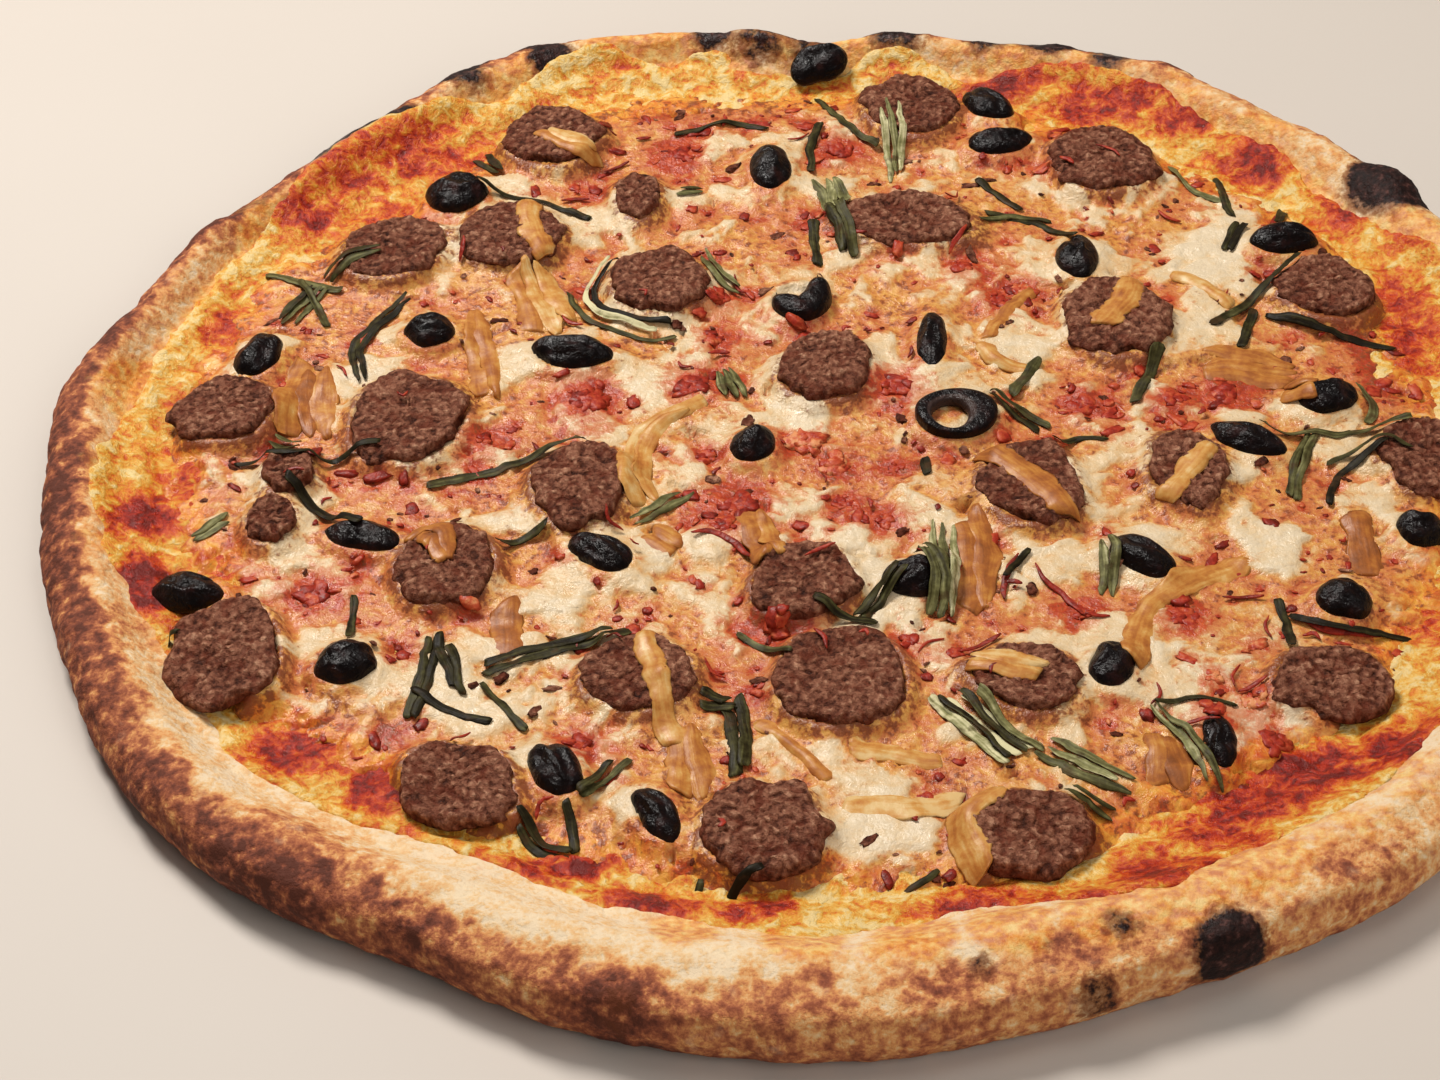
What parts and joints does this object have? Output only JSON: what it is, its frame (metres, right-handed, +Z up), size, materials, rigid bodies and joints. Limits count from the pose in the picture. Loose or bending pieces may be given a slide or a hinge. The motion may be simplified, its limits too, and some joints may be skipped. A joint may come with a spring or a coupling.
{
  "type": "meat pizza",
  "caption": "Whole baked pizza with a raised browned rim, melted cheese, meat slices, black olives, spring onion and soft onion.",
  "frame": {"origin": "under the middle of the pizza, on the surface that it lies on", "axes": "+Z up through the toppings, -Y towards the widest, most browned stretch of rim, +X to its right"},
  "size_m": [0.399, 0.393, 0.0186],
  "materials": {
    "crust": "baked dough, browned and blistered",
    "sauce": "moist tomato sauce",
    "cheese": "melted, oily, browned in spots",
    "meat": "coarse ground meat, baked",
    "olive": "glossy black skin",
    "greens": "cooked spring onion, limp and oily",
    "onion": "soft cooked onion, oily",
    "tomato": "soft cooked tomato"
  },
  "bodies": {
    "root": {"crust": "crust", "tomato_sauce": "sauce", "cheese": "cheese", "meat_01": "meat", "meat_02": "meat", "meat_03": "meat", "meat_04": "meat", "meat_05": "meat", "meat_06": "meat", "meat_07": "meat", "meat_08": "meat", "meat_09": "meat", "meat_10": "meat", "meat_11": "meat", "meat_12": "meat", "meat_13": "meat", "meat_14": "meat", "meat_15": "meat", "meat_16": "meat", "meat_17": "meat", "meat_18": "meat", "meat_19": "meat", "meat_20": "meat", "meat_21": "meat", "meat_22": "meat", "meat_23": "meat", "meat_24": "meat", "meat_25": "meat", "meat_26": "meat", "meat_27": "meat", "meat_28": "meat", "meat_29": "meat", "olive_01": "olive", "olive_02": "olive", "olive_03": "olive", "olive_04": "olive", "olive_05": "olive", "olive_06": "olive", "olive_07": "olive", "olive_08": "olive", "olive_09": "olive", "olive_10": "olive", "olive_11": "olive", "olive_12": "olive", "olive_13": "olive", "olive_14": "olive", "olive_15": "olive", "olive_16": "olive", "olive_17": "olive", "olive_18": "olive", "olive_19": "olive", "olive_20": "olive", "olive_21": "olive", "olive_22": "olive", "olive_23": "olive", "olive_24": "olive", "olive_25": "olive", "olive_26": "olive", "olive_27": "olive", "olive_28": "olive"}
  },
  "joints": []
}
